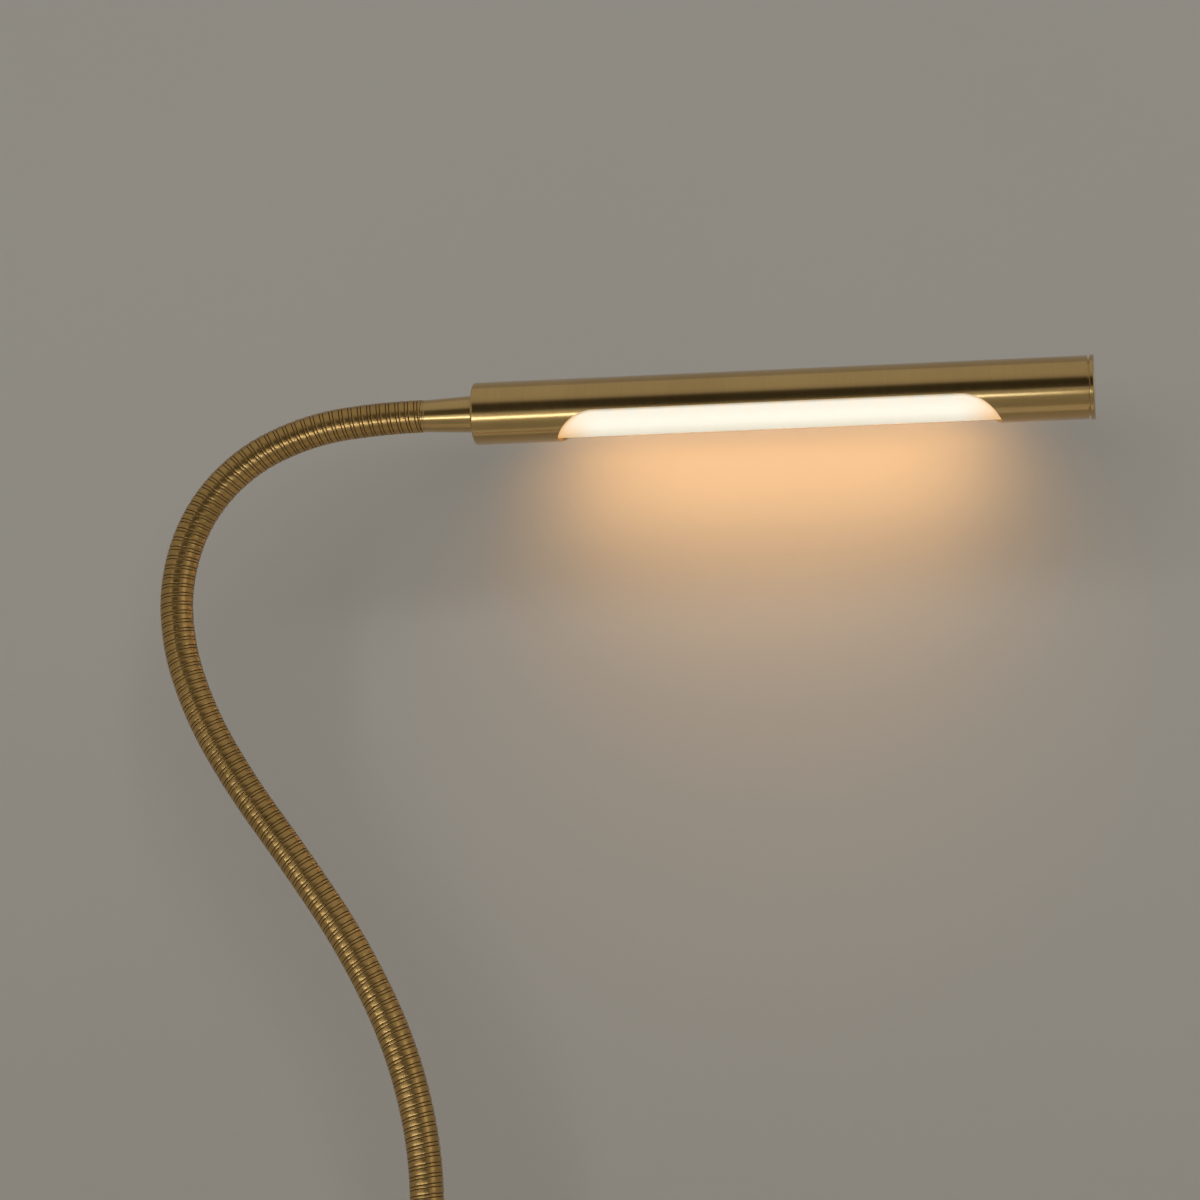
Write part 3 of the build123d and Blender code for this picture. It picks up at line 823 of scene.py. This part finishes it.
def stage_finish(name, colour, one_sided=False):
    """A plain matt surface. A one-sided one can't be seen from behind."""
    material, pen = start_finish(name)
    place = pen.node("ShaderNodeTexCoord", output="Object")
    clouds = place.noise(paint_scale, 2.0)
    pale = tuple(part * paint_lift for part in colour[:3]) + (1.0,)
    paint = pen.node("ShaderNodeBsdfDiffuse", None, {"Color": clouds.mix(colour, pale)})
    if one_sided:
        behind = pen.node("ShaderNodeNewGeometry", output="Backfacing")
        clear = pen.node("ShaderNodeBsdfTransparent")
        paint = pen.node("ShaderNodeMixShader", None, {0: behind, 1: paint, 2: clear})
    pen.node("ShaderNodeOutputMaterial", None, {"Surface": paint})
    return material


def stage_sheet(name, placing, size, finish):
    """A square sheet of the stage, which doesn't belong to the lamp."""
    shape = bmesh.new()
    bmesh.ops.create_grid(shape, x_segments=1, y_segments=1, size=size, matrix=placing)
    mesh = bpy.data.meshes.new(name)
    shape.to_mesh(mesh)
    shape.free()
    mesh.materials.append(finish)
    sheet = bpy.data.objects.new(name, mesh)
    bpy.context.scene.collection.objects.link(sheet)


screw_room = 30 * mm    # the screw can be wound down by a little less
floor_level = cad_box[0].z - screw_room
backdrop_y = 0.125
stage_reach = 2.2
floor_paint = stage_finish("floor_pale", (0.56, 0.55, 0.52, 1.0))
backdrop_paint = stage_finish("backdrop_grey", (0.306, 0.292, 0.266, 1.0), True)
stage_sheet("floor", Matrix.Translation((0, 0, floor_level)), stage_reach, floor_paint)
backdrop_middle = Vector((0, backdrop_y, floor_level + stage_reach))
upright = Matrix.Translation(backdrop_middle) @ Matrix.Rotation(radians(90), 4, "X")
stage_sheet("backdrop", upright, stage_reach, backdrop_paint)
print("floor at", round(floor_level / mm, 1), "mm")

# %% World
room_side = (0.30, 0.288, 0.256, 1.0)
room_above = (0.40, 0.384, 0.342, 1.0)
room_dark = (0.028, 0.025, 0.020, 1.0)
room_rise = (radians(15), radians(45))      # heights between which the walls turn into the ceiling
patch_edge = (0.7, 1.3)                     # shares of a patch's half size where its edge fades

world = bpy.data.worlds.new("studio")
bpy.context.scene.world = world
world.use_nodes = True
world.node_tree.nodes.clear()
room = Pen(world.node_tree)
look = room.node("ShaderNodeTexCoord", output="Generated")
look_azimuth = room.math("ARCTAN2", look.part("X"), 0.0 - look.part("Y"))
look_height = room.math("ARCSINE", look.part("Z"))


def patch(middle, half):
    """1 inside a soft rectangle of directions, given in degrees of azimuth and height."""
    aside = room.math("ABSOLUTE", look_azimuth - radians(middle[0])) / radians(half[0])
    above = room.math("ABSOLUTE", look_height - radians(middle[1])) / radians(half[1])
    return (1.0 - aside.between(*patch_edge)) * (1.0 - above.between(*patch_edge))


dark = patch(middle=(1, 3), half=(24, 20))
walls = look_height.between(*room_rise).mix(room_side, room_above)
sky = room.node("ShaderNodeBackground", None, {"Color": dark.mix(walls, room_dark), "Strength": 1.0})
room.node("ShaderNodeOutputWorld", None, {"Surface": sky})
print("world ready")

# %% Light maker
warm_white = (1.0, 0.95, 0.88)
cool_white = (0.88, 0.94, 1.0)
plain_white = (1.0, 1.0, 1.0)


def put_facing(thing, subject, azimuth, height, distance):
    """Put a light or a camera away from its subject, by azimuth and height in degrees, facing it."""
    level = cos(radians(height))
    away = Vector((sin(radians(azimuth)) * level, -cos(radians(azimuth)) * level, sin(radians(height))))
    thing.location = subject + away * distance
    thing.rotation_euler = away.to_track_quat("Z", "Y").to_euler()
    bpy.context.scene.collection.objects.link(thing)


def soft_light(
    name, subject, azimuth, height, distance, size, power, colour=warm_white, for_metal=True,
):
    """A rectangular light that faces its subject.

    It shows either in the metal or on the matt surfaces, so that each can be lit by itself.
    """
    data = bpy.data.lights.new(name, "AREA")
    data.shape = "RECTANGLE"
    data.size, data.size_y = size
    data.energy = power
    data.color = colour
    data.use_shadow = False
    light = bpy.data.objects.new(name, data)
    light.visible_camera = False
    light.visible_diffuse = not for_metal
    light.visible_glossy = for_metal
    put_facing(light, subject, azimuth, height, distance)
    return light


print("light maker ready")

# %% Lights
neck_middle = Vector((-0.05, 0, 0.22))
neck_low = Vector((0.01, 0, 0.06))
head_middle = Vector((window_middle, 0, head_axis.z))
left_of_head = head_middle - Vector((0.32, 0, 0))

soft_light(
    "low_strip", left_of_head, azimuth=-9, height=-33, distance=0.8, size=(1.0, 0.085), power=1.2,
    colour=cool_white,
)
soft_light(
    "left_strip", neck_middle, azimuth=-30, height=12, distance=1.5, size=(0.16, 0.45), power=0.17,
)
soft_light(
    "left_low_strip", neck_low, azimuth=-17, height=0, distance=0.6, size=(0.07, 0.30), power=0.055,
)
soft_light(
    "right_strip", neck_middle, azimuth=60, height=12, distance=1.5, size=(0.50, 0.9), power=0.8,
)
soft_light(
    "floor_panel", head_middle, azimuth=0, height=-90, distance=0.5, size=(1.4, 0.20), power=0.18,
)
fill = soft_light(
    "soft_fill", head_middle, azimuth=0, height=4, distance=5.0, size=(4.0, 3.0), power=182,
    colour=plain_white, for_metal=False,
)
fill.data.use_shadow = True
print("lights ready, fill at", fill.location)

# %% Glow of the lamp on the backdrop
glow_colour = (1.0, 0.535, 0.195)
glow_aim = Vector((window_middle - 0.013, backdrop_y, 0.373))
glow = soft_light(
    "lamp_glow", glow_aim, azimuth=0, height=55, distance=0.075, size=(0.175, 0.010), power=0.112,
    colour=glow_colour, for_metal=False,
)
glow.data.spread = radians(100)
print("glow at", glow.location)

# %% Camera
camera_target = Vector((0.0667, 0, 0.315))
camera_data = bpy.data.cameras.new("camera")
camera_data.sensor_width = 36.0
camera_data.lens = 115.2
camera = bpy.data.objects.new("camera", camera_data)
put_facing(camera, camera_target, azimuth=9, height=-13.2, distance=1.506)
bpy.context.scene.camera = camera
bpy.context.scene.view_settings.view_transform = "Standard"
print("camera at", camera.location)
